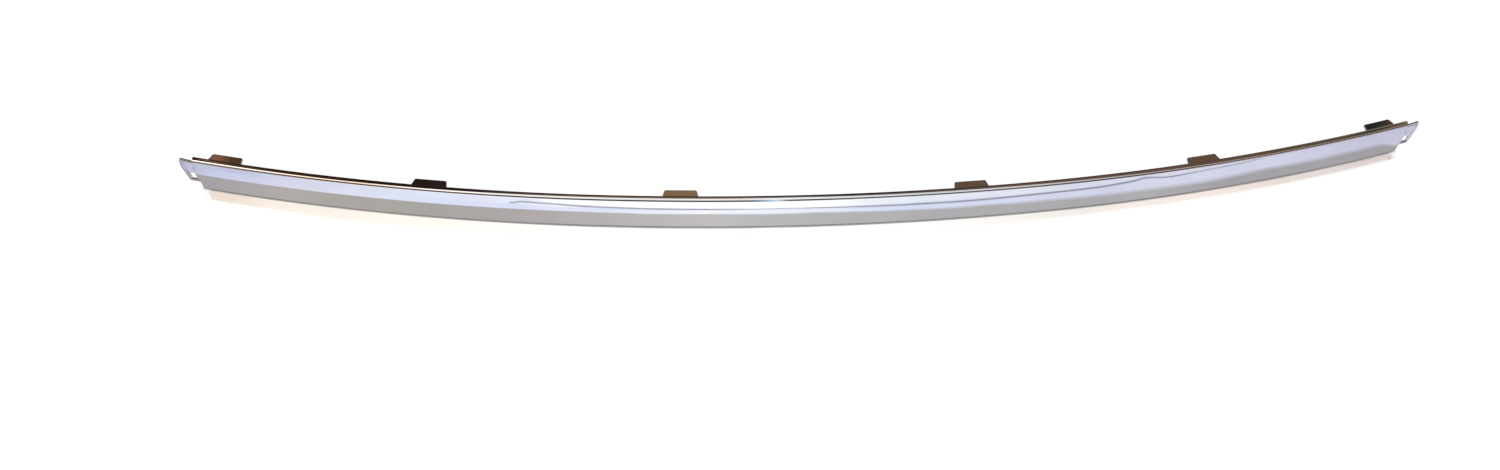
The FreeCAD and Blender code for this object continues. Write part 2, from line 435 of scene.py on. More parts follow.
def tongue(side):
    """Grid of one tongue: hole wall, hole edge, front, soft outer edge, side and rear, row by row."""
    outer, hole = tongue_lines()
    angle = np.linspace(0, math.pi / 2, TONGUE_EDGE_ROWS)
    rise, fall = 1 - np.cos(angle), 1 - np.sin(angle)
    share = np.linspace(1, 0, PILLOW_ROWS)
    outer_gaps = np.concatenate([EDGE + PILLOW_WIDTH * share, EDGE * fall[1:], EDGE * fall[::-1]])
    flat = np.concatenate([
        rows_beside(hole, -inward(hole), np.append(HOLE_EDGE * rise, HOLE_GUARDS)),
        rows_beside(outer, inward(outer), outer_gaps),
        rows_beside(hole, -inward(hole), HOLE_EDGE * rise[::-1]),
    ])
    drop = np.concatenate([
        HOLE_EDGE * fall,
        np.zeros(len(HOLE_GUARDS)),
        PILLOW_DROP * (1 - share) ** 2,
        PILLOW_DROP + EDGE * rise[1:],
        TONGUE_THICK - EDGE * rise[::-1],
        TONGUE_THICK - HOLE_EDGE * fall[::-1],
    ])[:, None]
    lean = math.radians(TONGUE_LEAN)
    x, y, heading = bow(np.float64(END_REACH))
    depth = TONGUE_SETBACK + flat[..., 1] * math.tan(lean) + drop * math.cos(lean)
    height = flat[..., 1] - drop * math.sin(lean)
    along = (flat[..., 0] - x + depth * math.sin(heading)) / math.cos(heading)
    py = y + along * np.sin(heading) + depth * np.cos(heading) + FOOT_Y
    return np.stack([side * flat[..., 0], py, height], axis=-1) * MM


tongues = make_piece("end_tongues", [tongue(-1), tongue(1)], ring=True)
for piece in (strip, tabs, tongues):
    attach(piece, "root")
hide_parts("trim_strip")

# %% [markdown]
# ## Node helpers
# Materials and world are node trees. A few short functions that make a node, link it and give its
# result back let a tree be written as a formula. Ramps take their stops in real units: a span says
# which value lies at the ramp's start and which at its end.

# %% Nodes as formulas
MIX_FACTOR, MIX_FIRST, MIX_SECOND, MIX_COLOUR = 0, 6, 7, 2


def node(tree, kind, x, y, **values):
    """A node of a kind at a place, with its settings and the values of its inputs by name."""
    made = tree.nodes.new(kind)
    made.location = (x, y)
    for name, value in values.items():
        if hasattr(made, name):
            setattr(made, name, value)
        else:
            made.inputs[name.replace("_", " ")].default_value = value
    return made


def math_node(tree, operation, x, y, *terms, clamp=False):
    """Math node of one to three terms, each a socket or a number; its result's socket comes back."""
    made = node(tree, "ShaderNodeMath", x, y, operation=operation, use_clamp=clamp)
    for entry, term in zip(made.inputs, terms):
        if isinstance(term, (int, float)):
            entry.default_value = term
        else:
            tree.links.new(term, entry)
    return made.outputs[0]


def step_over(tree, x, y, value, edge, softness):
    """Nought below an edge and one past it, with a soft change between."""
    over = math_node(tree, "SUBTRACT", x, y, value, edge)
    return math_node(tree, "DIVIDE", x + 150, y, over, softness, clamp=True)


def share_of(tree, x, y, value, span, unit=1.0):
    """Nought where a value is at the low end of a span, one at its high end, even between."""
    low, high = span
    return math_node(tree, "MULTIPLY_ADD", x, y, value, 1 / ((high - low) * unit), -low / (high - low))


def ramp(tree, x, y, share, stops, span=(0.0, 1.0), unit=1.0):
    """Colour ramp over a span; a stop holds a colour, or one number, taken times the unit as a grey."""
    low, high = span
    placed = []
    for at, value in stops:
        colour = value if isinstance(value, tuple) else (value * unit,) * 3
        placed.append(((at - low) / (high - low), (*colour, 1)))
    made = node(tree, "ShaderNodeValToRGB", x, y)
    elements = made.color_ramp.elements
    for position, colour in placed[1:-1]:
        elements.new(position).color = colour
    elements[0].position, elements[0].color = placed[0]
    elements[-1].position, elements[-1].color = placed[-1]
    tree.links.new(share, made.inputs["Fac"])
    return made.outputs["Color"]


def mix(tree, x, y, factor, first, second):
    """Mix of two colours by a factor socket; a colour is a socket or three numbers."""
    made = node(tree, "ShaderNodeMix", x, y, data_type="RGBA")
    tree.links.new(factor, made.inputs[MIX_FACTOR])
    for index, colour in ((MIX_FIRST, first), (MIX_SECOND, second)):
        if isinstance(colour, tuple):
            made.inputs[index].default_value = (*colour, 1)
        else:
            tree.links.new(colour, made.inputs[index])
    return made.outputs[MIX_COLOUR]


def noise(tree, x, y, where, scale, detail, roughness=0.5):
    """Noise texture over a vector socket; its value's socket comes back."""
    made = node(tree, "ShaderNodeTexNoise", x, y, Scale=scale, Detail=detail, Roughness=roughness)
    tree.links.new(where, made.inputs["Vector"])
    return made.outputs["Fac"]


def blank_material(name):
    """A new material whose node tree is empty."""
    material = bpy.data.materials.new(name)
    material.use_nodes = True
    material.node_tree.nodes.clear()
    return material


def to_output(tree, kind, x, y, shader):
    """The tree's output node, fed by a shader socket."""
    tree.links.new(shader, node(tree, kind, x, y).inputs["Surface"])


# %% [markdown]
# ## Bright plating
# Chrome is a metal, so the shader is metallic with very little roughness. What makes it look
# real is what breaks the perfect mirror: a slow waviness of the moulding under the plating, a
# fine skin texture, and a faint haze that comes and goes. All of it is worked out from the
# object's own coordinates, so it stays where it is on the piece.

# %% Bright plating
HAZE_SCALE, TINT_SCALE, WAVE_SCALE, SKIN_SCALE = 22.0, 9.0, 16.0, 900.0
HAZE_SPAN, ROUGHNESS_SPAN = (0.35, 0.75), (0.035, 0.075)
TINT_STOPS = [(0.35, (0.76, 0.775, 0.80)), (0.65, (0.80, 0.805, 0.82))]
WAVE_STRENGTH, WAVE_HEIGHT = 0.35, 0.07
SKIN_STRENGTH, SKIN_HEIGHT = 0.05, 0.01


def bright_plating():
    """Metallic shader whose roughness and bump come from slow and fine noise over the piece."""
    material = bpy.data.materials.new("bright_plating")
    material.use_nodes = True
    tree = material.node_tree
    shader = tree.nodes["Principled BSDF"]
    shader.inputs["Metallic"].default_value = 1.0
    where = node(tree, "ShaderNodeTexCoord", -1300, 0).outputs["Object"]
    haze = noise(tree, -1050, 200, where, HAZE_SCALE, 4.0, 0.6)
    tint = noise(tree, -1050, 480, where, TINT_SCALE, 2.0)
    slow = noise(tree, -1050, -100, where, WAVE_SCALE, 1.0)
    fine = noise(tree, -1050, -400, where, SKIN_SCALE, 2.0)
    rough = node(tree, "ShaderNodeMapRange", -800, 200, From_Min=HAZE_SPAN[0], From_Max=HAZE_SPAN[1],
                 To_Min=ROUGHNESS_SPAN[0], To_Max=ROUGHNESS_SPAN[1])
    tree.links.new(haze, rough.inputs["Value"])
    tree.links.new(rough.outputs["Result"], shader.inputs["Roughness"])
    tree.links.new(ramp(tree, -800, 480, tint, TINT_STOPS), shader.inputs["Base Color"])
    wave = node(tree, "ShaderNodeBump", -500, -100, Strength=WAVE_STRENGTH, Distance=WAVE_HEIGHT * MM)
    skin = node(tree, "ShaderNodeBump", -250, -200, Strength=SKIN_STRENGTH, Distance=SKIN_HEIGHT * MM)
    tree.links.new(slow, wave.inputs["Height"])
    tree.links.new(fine, skin.inputs["Height"])
    tree.links.new(wave.outputs["Normal"], skin.inputs["Normal"])
    tree.links.new(skin.outputs["Normal"], shader.inputs["Normal"])
    return material


plating = bright_plating()
for piece in (strip, tabs, tongues):
    piece.data.materials.append(plating)
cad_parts["trim_strip"].data.materials.clear()
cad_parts["trim_strip"].data.materials.append(plating)

# %% [markdown]
# ## Camera
# The strip is seen from in front and well above, with a wide lens close by: its ends fall away
# and its upright edges lean together towards the bottom. The camera was found by fitting the
# bow, the tabs and the end corners of the strip to where they lie in the view.

# %% Camera
VIEW_PLACE = (-133.2, -693.33, 778.55)
VIEW_DOWN, VIEW_ROLL, VIEW_TURN = 48.58, 1.76, -4.99
LENS_PIXELS, WIDTH_PIXELS = 1100.0, 1500.0
SENSOR_WIDTH = 36.0
CLIP_NEAR, CLIP_FAR = 0.01, 50.0


def camera_axes():
    """Right, up and backward unit vectors from turn about Z, then pitch down, then roll."""
    turn, down, roll = (math.radians(angle) for angle in (VIEW_TURN, VIEW_DOWN, VIEW_ROLL))
    right = np.array([math.cos(turn), math.sin(turn), 0.0])
    level = np.array([-math.sin(turn), math.cos(turn), 0.0])
    upright = np.array([0.0, 0.0, 1.0])
    ahead = level * math.cos(down) - upright * math.sin(down)
    above = level * math.sin(down) + upright * math.cos(down)
    rolled_right = right * math.cos(roll) + above * math.sin(roll)
    rolled_up = -right * math.sin(roll) + above * math.cos(roll)
    return rolled_right, rolled_up, -ahead


camera = bpy.data.objects.new("camera", bpy.data.cameras.new("camera"))
camera.data.sensor_width = SENSOR_WIDTH
camera.data.lens = SENSOR_WIDTH * LENS_PIXELS / WIDTH_PIXELS
camera.data.clip_start, camera.data.clip_end = CLIP_NEAR, CLIP_FAR
stand = (np.array(VIEW_PLACE) + np.array([0.0, FOOT_Y, 0.0])) * MM
camera.matrix_world = Matrix([*np.stack([*camera_axes(), stand], axis=1).tolist(), [0, 0, 0, 1]])
bpy.context.scene.collection.objects.link(camera)
bpy.context.scene.camera = camera
print("lens", round(camera.data.lens, 1), "mm")

# %% [markdown]
# ## What the mirror sees low down
# Both facets of the face lean back so little that they show the table just in front of the
# strip, where a studio has paper and cards lying. Real cards could be modelled, but one sheet that
# only reflections see is easier to set out. It lies just under the floor and follows the bow, and
# its UV map holds the distance along the strip and the distance in front of it. So its colours are
# bands, each with its start in front of the foot and its stops along the strip in millimetres.
# Its bands glow as painted reflections. Painted shade comes first: a dark line at the foot and a grey
# band, the strip's own shadow on the table. Past it come pale card, then white card, and the dark room.

# %% Bands of the sheet
STRIP_SPAN = (-700.0, 700.0)
BACK_COLOUR = (0.46, 0.43, 0.52)
# Painted shade: a darker line right at the foot, the strip's contact shadow as the mirror shows it
FOOT_SHADE_COLOURS = [(-700, (0.48, 0.45, 0.45)), (-70, 0.46), (700, (0.40, 0.38, 0.39))]
# Painted shadow: the grey band is the strip's own shadow on the table, as the mirror shows it
STRIP_SHADOW_COLOURS = [
    (-602, (0.49, 0.455, 0.46)), (-504, (0.555, 0.51, 0.475)), (-406, (0.50, 0.483, 0.433)),
    (-294, (0.53, 0.487, 0.475)), (-112, (0.70, 0.66, 0.66)), (-42, (0.60, 0.60, 0.585)),
    (140, (0.53, 0.52, 0.525)), (322, (0.53, 0.515, 0.52)), (420, (0.465, 0.452, 0.46)),
    (504, (0.48, 0.462, 0.478)), (630, (0.45, 0.425, 0.45))]
PALE_COLOURS = [
    (-658, (0.62, 0.62, 0.76)), (-616, (0.75, 0.79, 1.02)), (-550.2, (0.82, 0.82, 0.98)),
    (-501.2, (0.93, 0.94, 1.05)), (-420, (0.92, 0.96, 1.14)), (-308, (0.9, 0.93, 1.14)),
    (-210, (1.0, 1.03, 1.2)), (-112, (1.22, 1.22, 1.26)), (0, (1.02, 1.05, 1.15)),
    (84, (0.86, 0.91, 1.12)), (308, (0.84, 0.855, 1.02)), (504, (0.80, 0.80, 0.96)),
    (630, (0.70, 0.69, 0.83))]
WHITE_COLOURS = [
    (-602, (0.68, 0.71, 0.88)), (-518, (0.88, 0.91, 1.06)), (-350, (0.96, 1.0, 1.16)),
    (-294, (1.0, 1.04, 1.18)), (-259, 1.4), (0, 1.35), (70, (1.02, 1.06, 1.14)),
    (308, (0.9, 0.9, 1.04)), (630, (0.72, 0.70, 0.84))]
FAR_COLOURS = [
    (-602, (0.70, 0.70, 0.76)), (-504, (1.15, 1.1, 1.16)), (-196, 1.4), (28, 1.35),
    (140, (0.95, 0.97, 1.05)), (336, (0.95, 0.95, 1.05)), (448, (0.75, 0.72, 0.78)),
    (630, (0.72, 0.70, 0.78))]
DARK_COLOURS = [
    (-700, (0.34, 0.29, 0.22)), (-280, (0.22, 0.16, 0.12)), (-70, (0.11, 0.11, 0.13)),
    (350, (0.16, 0.12, 0.10)), (700, (0.2, 0.14, 0.1))]

# Where the pale card starts in front of the foot, at the edge of the painted shadow, and over how many
# millimetres it fades in
PALE_START = [
    (-700, 26), (-56, 18.8), (0, 18.3), (70, 16.2), (168, 14.5), (308, 11.2), (385, 9.8), (448, 12.5),
    (532, 11.2), (600.6, 11.8), (610.4, 6), (621.6, -6)]
PALE_SOFTNESS = [(-168, 1.5), (-70, 3), (70, 3.5), (308, 7)]

# Start, softness, whether the start wanders a little, and colours along the strip
SHEET_BANDS = [
    (-3.0, 1.0, True, FOOT_SHADE_COLOURS),
    (0.8, 1.2, False, STRIP_SHADOW_COLOURS),
    (PALE_START, PALE_SOFTNESS, True, PALE_COLOURS),
    (51.0, 3.0, True, WHITE_COLOURS),
    (70.0, 4.0, True, FAR_COLOURS),
    (160.0, 30.0, True, DARK_COLOURS)]
print("sheet with", len(SHEET_BANDS), "bands in front of its back colour")

# %% Paint of the sheet
WANDER_SCALE, WANDER = 14.0, 4.0
MOTTLE_SCALE, MOTTLE = 26.0, 0.16
# Past the ends the sheet dims, which paints shade on the soft outer edges of the tongues
FADE_FROM, FADE_OVER, FADE_TO = 660.0, 80.0, (0.40, 0.37, 0.40)


def sheet_paint():
    """Light that the mirror sees low down: the bands by distance in front, dimmed past the ends as painted
    shade.
    """
    material = blank_material("sheet_paint")
    tree = material.node_tree
    uv = node(tree, "ShaderNodeUVMap", -1500, 0, uv_map="set_out").outputs["UV"]
    parts = node(tree, "ShaderNodeSeparateXYZ", -1300, 0)
    tree.links.new(uv, parts.inputs[0])
    along, ahead = parts.outputs[0], parts.outputs[1]
    share = share_of(tree, -1100, 200, along, STRIP_SPAN, MM)
    drift = noise(tree, -1300, -300, uv, WANDER_SCALE, 2.0)
    ripple = math_node(tree, "MULTIPLY_ADD", -1100, -300, drift, WANDER * MM, -WANDER / 2 * MM)
    wandering = math_node(tree, "ADD", -900, -100, ahead, ripple)

    def in_metres(y, size):
        """A number of millimetres, or stops along the strip that hold such numbers, in metres."""
        if isinstance(size, list):
            return ramp(tree, -700, y, share, size, STRIP_SPAN, MM)
        return size * MM

    colour = BACK_COLOUR
    for k, (start, softness, wanders, stops) in enumerate(SHEET_BANDS):
        distance = wandering if wanders else ahead
        start, softness = in_metres(-1000, start), in_metres(-1150, softness)
        factor = step_over(tree, -600, -400 - 100 * k, distance, start, softness)
        band = ramp(tree, -700, 600 - 150 * k, share, stops, STRIP_SPAN)
        colour = mix(tree, -200 + 100 * k, 500 - 100 * k, factor, colour, band)
    outward = math_node(tree, "ABSOLUTE", -1100, 350, along)
    past_end = step_over(tree, -900, 350, outward, FADE_FROM * MM, FADE_OVER * MM)
    fade = ramp(tree, 500, -300, past_end, [(0, 1.0), (1, FADE_TO)])
    mottle = noise(tree, 400, -500, uv, MOTTLE_SCALE, 3.0)
    patches = math_node(tree, "MULTIPLY_ADD", 600, -500, mottle, MOTTLE, 1 - MOTTLE / 2)
    strength = math_node(tree, "MULTIPLY", 800, -300, fade, patches)
    glow = node(tree, "ShaderNodeEmission", 1000, 100)
    tree.links.new(colour, glow.inputs["Color"])
    tree.links.new(strength, glow.inputs["Strength"])
    to_output(tree, "ShaderNodeOutputMaterial", 1200, 100, glow.outputs[0])
    return material


# %% The sheet in front of the strip
SHEET_ALONG, SHEET_AHEAD = np.linspace(-1100, 1100, 111), np.linspace(-500, 500, 101)
SHEET_HEIGHT, CARD_HEIGHT = -0.6, -0.5


def open_cells(rows, columns):
    """Four-sided faces of a grid that closes nowhere."""
    corner = (np.arange(rows - 1)[:, None] * columns + np.arange(columns - 1)[None, :]).reshape(-1)
    return np.stack([corner, corner + columns, corner + columns + 1, corner + 1], axis=1)


def bowed_sheet():
    """Flat grid: bow distances in one direction, distances in front of the foot in the other."""
    s, d = np.meshgrid(SHEET_ALONG, SHEET_AHEAD, indexing="ij")
    cells = open_cells(*s.shape)
    sheet = add_mesh("reflected_sheet", place(s, -d, SHEET_HEIGHT).reshape(-1, 3).tolist(), cells.tolist())
    uv = np.stack([s.reshape(-1), d.reshape(-1)], axis=1)[cells.reshape(-1)] * MM
    sheet.data.uv_layers.new(name="set_out").data.foreach_set("uv", uv.reshape(-1))
    return sheet


def for_reflections_only(thing):
    """The thing is seen in mirrors, and by nothing else."""
    thing.visible_camera = False
    thing.visible_diffuse = False
    thing.visible_shadow = False
    thing.visible_transmission = False
    thing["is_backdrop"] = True


sheet = bowed_sheet()
sheet.data.materials.append(sheet_paint())
for_reflections_only(sheet)
print("sheet of", len(sheet.data.polygons), "cells")

# %% [markdown]
# ## The edge of the white card
# Through the middle of the face runs a thin dark line that wanders: the shaded edge of the white
# card. A line in the sheet's paint would be blurred by the card's soft start, so it is a ribbon of
# its own, just above the sheet, with a few points for its course and a few for its width.

# %% Card edge
CARD_LINE = np.array([
    (-313, 52.3), (-306, 59.5), (-290, 58.5), (-241, 54.6), (-178, 52.0), (-101, 51.4), (0, 51.3),
    (60, 49.5), (148, 47.9), (227, 49.7), (290, 49.9), (334, 54.0), (345, 59.0), (368, 51.0),
    (413, 53.8), (440, 54.6), (465, 55.5), (490, 59.2)])
CARD_HALF_WIDTH = np.array([
    (-313, 1.6), (-240, 2.0), (-110, 1.6), (-60, 0.8), (-10, 1.0), (70, 2.1), (350, 2.1), (410, 1.1),
    (490, 0.8)])
CARD_STEPS, CARD_SMOOTHING = 260, 5
CARD_SHADE = (0.34, 0.35, 0.43)


def card_edge():
    """Ribbon along the card's edge: the edge's distances, evened out, plus and minus half its width."""
    s = np.linspace(CARD_LINE[0, 0], CARD_LINE[-1, 0], CARD_STEPS)
    padded = np.pad(np.interp(s, *CARD_LINE.T), CARD_SMOOTHING // 2, mode="edge")
    d = np.convolve(padded, np.ones(CARD_SMOOTHING) / CARD_SMOOTHING, mode="valid")
    half_width = np.interp(s, *CARD_HALF_WIDTH.T)
    sides = [place(s, -d - half_width, CARD_HEIGHT), place(s, -d + half_width, CARD_HEIGHT)]
    points = np.stack(sides, axis=1).reshape(-1, 3)
    return add_mesh("card_line", points.tolist(), open_cells(CARD_STEPS, 2).tolist())


def flat_glow(name, colour):
    """Material that gives off one even colour."""
    material = blank_material(name)
    glow = node(material.node_tree, "ShaderNodeEmission", 0, 0, Color=(*colour, 1))
    to_output(material.node_tree, "ShaderNodeOutputMaterial", 200, 0, glow.outputs[0])
    return material


ribbon = card_edge()
ribbon.data.materials.append(flat_glow("card_edge", CARD_SHADE))
for_reflections_only(ribbon)
print("card edge of", len(ribbon.data.polygons), "cells")

# %% [markdown]
# ## Floor
# The floor is a plain white table. The camera sees it a touch brighter than its paint, so that it
# comes out white, and the crevice under the strip stays dark with painted shade: an ambient
# occlusion node darkens the floor's colour there. Close in front of the strip the table is glossy:
# it shows a narrow, faint mirror image of the face, tinted towards both ends by a painted warm pool
# of light. A glossy coat on the whole table would repeat the strip in full, so the mirror is limited
# to a band along the bow that fades out at the ends of the face. Behind the strip it goes on,
# untinted. The plating's blurred reflections leave the floor out and see the sheet under it instead.

# %% Floor sizes and helpers
FLOOR_HALF = 20.0
FLOOR_WHITE, CAMERA_LIFT = 0.9, 0.28
CREVICE_REACH, CREVICE_POWER, CREVICE_SAMPLES = 2.5, 0.9, 16
MIRROR_SHARE, MIRROR_SOFTNESS = 0.65, 3.0
MIRROR_WIDTH_PLACES, MIRROR_WIDTHS = (-100.0, 300.0), (15.8, 10.5)
MIRROR_END_GAP, MIRROR_END_FADE = 3.0, 6.0
# Painted light: a warm pool of light on the table in front of the strip, stronger towards both ends
WARM_POOL_TINTS = [
    (-570, (0.80, 0.77, 0.71)), (-530, (0.97, 0.95, 0.92)), (-310, 1.0), (30, 1.0),
    (170, (0.93, 0.90, 0.82)), (400, (0.84, 0.80, 0.73)), (470, (0.79, 0.76, 0.66)), (520, 1.0)]
TINT_START, TINT_SOFTNESS = -3.0, 3.0
GRAIN_SCALE, GRAIN_STRENGTH, GRAIN_HEIGHT = 1500.0, 0.2, 0.1
BOW_SAMPLES = 200


def ahead_of_bow(tree, x, y):
    """Distance in front of the strip's foot: the bow's line, fitted as a x^2 + b x^4, minus y."""
    bow_x, bow_y, _ = bow(np.linspace(0, END_REACH, BOW_SAMPLES))
    powers = np.stack([(bow_x * MM) ** 2, (bow_x * MM) ** 4], axis=1)
    a, b = (float(term) for term in np.linalg.lstsq(powers, bow_y * MM, rcond=None)[0])
    square = math_node(tree, "MULTIPLY", -1700, 100, x, x)
    inner = math_node(tree, "MULTIPLY_ADD", -1500, 100, square, b, a)
    line = math_node(tree, "MULTIPLY", -1300, 100, square, inner)
    foot_line = math_node(tree, "ADD", -1100, 100, line, float(FOOT_Y * MM))
    return math_node(tree, "SUBTRACT", -900, 100, foot_line, y)


def mirror_band(tree, x, ahead):
    """One where the table mirrors: up to a width in front of the foot, times up to the face's ends."""
    width = node(tree, "ShaderNodeMapRange", -900, -150,
                 From_Min=MIRROR_WIDTH_PLACES[0] * MM, From_Max=MIRROR_WIDTH_PLACES[1] * MM,
                 To_Min=MIRROR_WIDTHS[0] * MM, To_Max=MIRROR_WIDTHS[1] * MM)
    tree.links.new(x, width.inputs["Value"])
    inside = math_node(tree, "SUBTRACT", -700, -150, width.outputs[0], ahead)
    across = math_node(tree, "DIVIDE", -550, -150, inside, MIRROR_SOFTNESS * MM, clamp=True)
    outward = math_node(tree, "ABSOLUTE", -700, -300, x)
    left_over = math_node(tree, "SUBTRACT", -550, -300, (END_REACH - MIRROR_END_GAP) * MM, outward)
    along = math_node(tree, "DIVIDE", -400, -300, left_over, MIRROR_END_FADE * MM, clamp=True)
    return math_node(tree, "MULTIPLY", -400, -150, across, along)


def table_mirror(tree, where, x, ahead, crevice):
    """Sharp gloss with a fine grain, darkened by painted shade in the crevice and tinted by a painted warm
    pool in front of the foot.
    """
    share = share_of(tree, -700, -600, x, STRIP_SPAN, MM)
    tint = ramp(tree, -550, -600, share, WARM_POOL_TINTS, STRIP_SPAN)
    in_front = step_over(tree, -550, -750, ahead, TINT_START * MM, TINT_SOFTNESS * MM)
    warm = mix(tree, -350, -750, in_front, (1.0, 1.0, 1.0), tint)
    shaded = node(tree, "ShaderNodeVectorMath", -350, -600, operation="MULTIPLY")
    tree.links.new(warm, shaded.inputs[0])
    tree.links.new(crevice, shaded.inputs[1])
    grain = noise(tree, -700, -400, where, GRAIN_SCALE, 1.0)
    rough = node(tree, "ShaderNodeBump", -500, -400, Strength=GRAIN_STRENGTH, Distance=GRAIN_HEIGHT * MM)
    tree.links.new(grain, rough.inputs["Height"])
    gloss = node(tree, "ShaderNodeBsdfGlossy", -300, -100, Roughness=0.0)
    tree.links.new(shaded.outputs[0], gloss.inputs["Color"])
    tree.links.new(rough.outputs["Normal"], gloss.inputs["Normal"])
    return gloss.outputs[0]


# %% Floor
def white_paint(tree, crevice):
    """Matt white plus a lift that only the camera sees, both darkened by painted shade in the crevice."""
    matt = node(tree, "ShaderNodeBsdfDiffuse", -300, 300)
    tree.links.new(math_node(tree, "MULTIPLY", -550, 400, crevice, FLOOR_WHITE), matt.inputs["Color"])
    seen = node(tree, "ShaderNodeLightPath", -700, 200).outputs["Is Camera Ray"]
    lifted = math_node(tree, "MULTIPLY", -500, 200, seen, CAMERA_LIFT)
    lift = node(tree, "ShaderNodeEmission", -300, 100)
    tree.links.new(math_node(tree, "MULTIPLY", -400, 150, lifted, crevice), lift.inputs["Strength"])
    body = node(tree, "ShaderNodeAddShader", -100, 200)
    tree.links.new(matt.outputs[0], body.inputs[0])
    tree.links.new(lift.outputs[0], body.inputs[1])
    return body.outputs[0]


def floor_paint():
    """White table: matt paint, and a mirror that takes a share of it close to the strip."""
    material = blank_material("floor_paint")
    tree = material.node_tree
    where = node(tree, "ShaderNodeTexCoord", -2100, 0).outputs["Object"]
    parts = node(tree, "ShaderNodeSeparateXYZ", -1900, 0)
    tree.links.new(where, parts.inputs[0])
    x = parts.outputs[0]
    ahead = ahead_of_bow(tree, x, parts.outputs[1])
    # Painted shade: ambient occlusion darkens the floor's colour close to the strip
    close = node(tree, "ShaderNodeAmbientOcclusion", -900, 400, samples=CREVICE_SAMPLES,
                 Distance=CREVICE_REACH * MM)
    crevice = math_node(tree, "POWER", -700, 400, close.outputs["AO"], CREVICE_POWER)
    amount = math_node(tree, "MULTIPLY", -300, -250, mirror_band(tree, x, ahead), MIRROR_SHARE)
    whole = node(tree, "ShaderNodeMixShader", 100, 50)
    tree.links.new(amount, whole.inputs[0])
    tree.links.new(white_paint(tree, crevice), whole.inputs[1])
    tree.links.new(table_mirror(tree, where, x, ahead, crevice), whole.inputs[2])
    to_output(tree, "ShaderNodeOutputMaterial", 300, 50, whole.outputs[0])
    return material


floor_corners = [(-1, -1), (1, -1), (1, 1), (-1, 1)]
floor = add_mesh("floor", [(FLOOR_HALF * x, FLOOR_HALF * y, 0) for x, y in floor_corners], [(0, 1, 2, 3)])
floor.data.materials.append(floor_paint())
floor.visible_glossy = False
floor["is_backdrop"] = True
print("floor", 2 * FLOOR_HALF, "m across")

# %% [markdown]
# ## The room in the mirror
# Soft white light comes from all round. What the plating shows of the room depends on how high it
# looks. One angle describes that: it is 0 straight in front, a quarter turn overhead, and a half
# turn straight behind. Upwards from the front come a pale skirting, a dark strip of room with a
# small blue glint, a bright ceiling, a large pale screen that turns dark at the far right, a shaded
# edge, a brown wall, and deep shade behind. A room could be modelled from boxes, but as zones in
# the world each border and colour can be set by itself. Colours and borders change from left to
# right, so their stops are given by the direction's sideways part, from -1 to 1.

# %% Zones of the room
SIDE_SPAN = (-1.0, 1.0)
BELOW = (0.32, 0.28, 0.27)
SKIRTING = (0.6, 0.6, 0.7)
HORIZON = [
    (-0.74, (0.24, 0.19, 0.15)), (-0.6, (0.15, 0.09, 0.06)), (-0.27, (0.10, 0.07, 0.06)),
    (-0.1, (0.07, 0.075, 0.08)), (0.028, (0.06, 0.06, 0.07)), (0.034, (0.25, 0.5, 0.85)),
    (0.048, (0.35, 0.65, 1.0)), (0.051, 1.2), (0.06, 1.2), (0.064, (0.05, 0.04, 0.08)),
    (0.23, (0.14, 0.135, 0.14)), (0.5, (0.12, 0.105, 0.105)), (0.7, (0.10, 0.06, 0.045)),
    (0.84, (0.14, 0.09, 0.06))]
CEILING = [
    (-0.63, (1.3, 0.98, 0.80)), (-0.56, (1.25, 1.1, 0.95)), (-0.45, (1.35, 1.22, 1.05)),
    (-0.35, (1.4, 1.32, 1.15)), (-0.1, 1.35), (0.3, 1.35), (0.45, (1.3, 1.2, 1.15)),
    (0.6, (1.5, 1.25, 1.2)), (0.68, (1.2, 1.0, 0.95)), (0.73, (0.8, 0.62, 0.58))]
SCREEN = [
    (-0.56, (2.3, 2.2, 2.0)), (-0.51, (2.2, 2.0, 1.7)), (-0.465, (1.4, 0.96, 0.66)),
    (-0.4, (1.4, 0.98, 0.7)), (-0.36, (1.6, 1.5, 1.35)), (-0.18, 1.4), (0.1, 1.3), (0.22, 0.85),
    (0.4, (0.5, 0.46, 0.46)), (0.49, (0.26, 0.21, 0.20)), (0.56, (0.13, 0.085, 0.06)),
    (0.76, (0.18, 0.13, 0.085))]
SHADED_EDGE = [
    (-0.42, (0.025, 0.012, 0.008)), (-0.2, (0.02, 0.01, 0.008)), (0, (0.1, 0.09, 0.09)),
    (0.24, (0.10, 0.07, 0.06)), (0.48, (0.13, 0.075, 0.055)), (0.56, (0.17, 0.13, 0.07)),
    (0.62, (0.2, 0.15, 0.08))]
WALL_BROWN = [
    (-0.419, (0.03, 0.015, 0.01)), (-0.416, (0.26, 0.13, 0.065)), (-0.402, (0.24, 0.12, 0.06)),
    (-0.4, (0.03, 0.015, 0.01)), (-0.394, (0.03, 0.015, 0.01)), (-0.392, (0.15, 0.08, 0.04)),
    (-0.38, (0.05, 0.025, 0.015)), (-0.28, (0.02, 0.01, 0.008)), (-0.2, (0.03, 0.015, 0.012)),
    (-0.06, (0.27, 0.16, 0.08)), (0.05, (0.27, 0.16, 0.08)), (0.15, (0.06, 0.05, 0.06)),
    (0.24, (0.14, 0.085, 0.05)), (0.48, (0.14, 0.08, 0.05)), (0.545, (0.10, 0.065, 0.045)),
    (0.563, (0.02, 0.026, 0.03)), (0.572, (0.006, 0.014, 0.015)), (0.577, (0.04, 0.035, 0.03)),
    (0.584, (0.16, 0.13, 0.07))]
DEEP_SHADE = [
    (-0.41, (0.02, 0.008, 0.005)), (-0.25, (0.02, 0.008, 0.005)), (-0.12, (0.03, 0.022, 0.022)),
    (0, (0.03, 0.028, 0.028)), (0.06, (0.02, 0.015, 0.018)), (0.16, (0.03, 0.02, 0.022)),
    (0.35, (0.085, 0.055, 0.055)), (0.5, (0.10, 0.07, 0.05)), (0.57, (0.28, 0.23, 0.13))]

